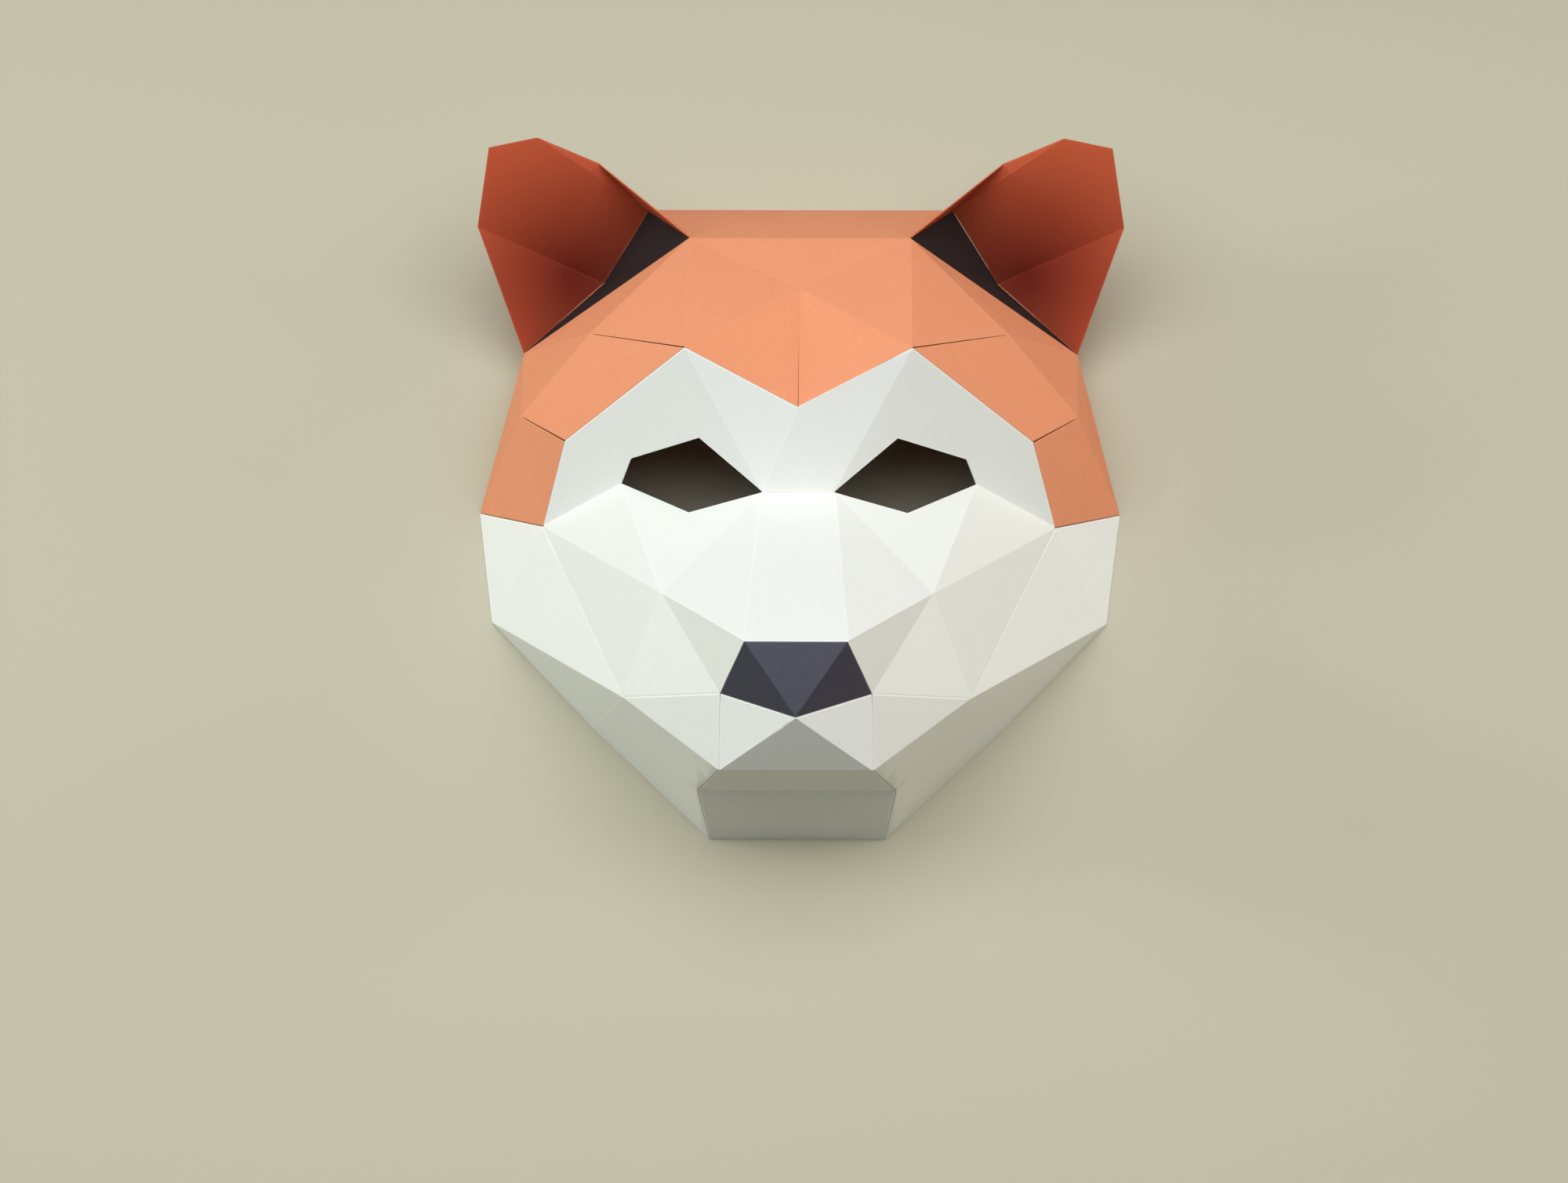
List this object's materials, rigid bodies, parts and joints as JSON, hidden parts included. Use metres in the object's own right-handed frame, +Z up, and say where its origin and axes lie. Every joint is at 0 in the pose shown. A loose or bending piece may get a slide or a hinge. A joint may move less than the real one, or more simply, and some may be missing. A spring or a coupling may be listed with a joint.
{
  "type": "paper dog mask",
  "caption": "Full-face dog mask of folded coloured card with open eye holes, a long muzzle, cupped upright ears and a flat open back rim.",
  "frame": {"origin": "middle of the box round the mask, on the surface that its back rim lies on", "axes": "+Z up, out of the face; +Y towards the ears, -Y towards the chin; +X to the viewer's right when looking at the face"},
  "size_m": [0.2776, 0.3012, 0.1258],
  "materials": {
    "card_orange": "matt dyed card",
    "card_white": "matt white card",
    "card_black": "matt black card"
  },
  "bodies": {
    "root": {"forehead": "card_orange", "crown": "card_orange", "ear_left": "card_orange", "ear_right": "card_orange", "eye_patch": "card_white", "muzzle": "card_white", "cheek_left": "card_white", "cheek_right": "card_white", "chin": "card_white", "nose": "card_black", "ear_floor_left": "card_black", "ear_floor_right": "card_black"}
  },
  "joints": []
}
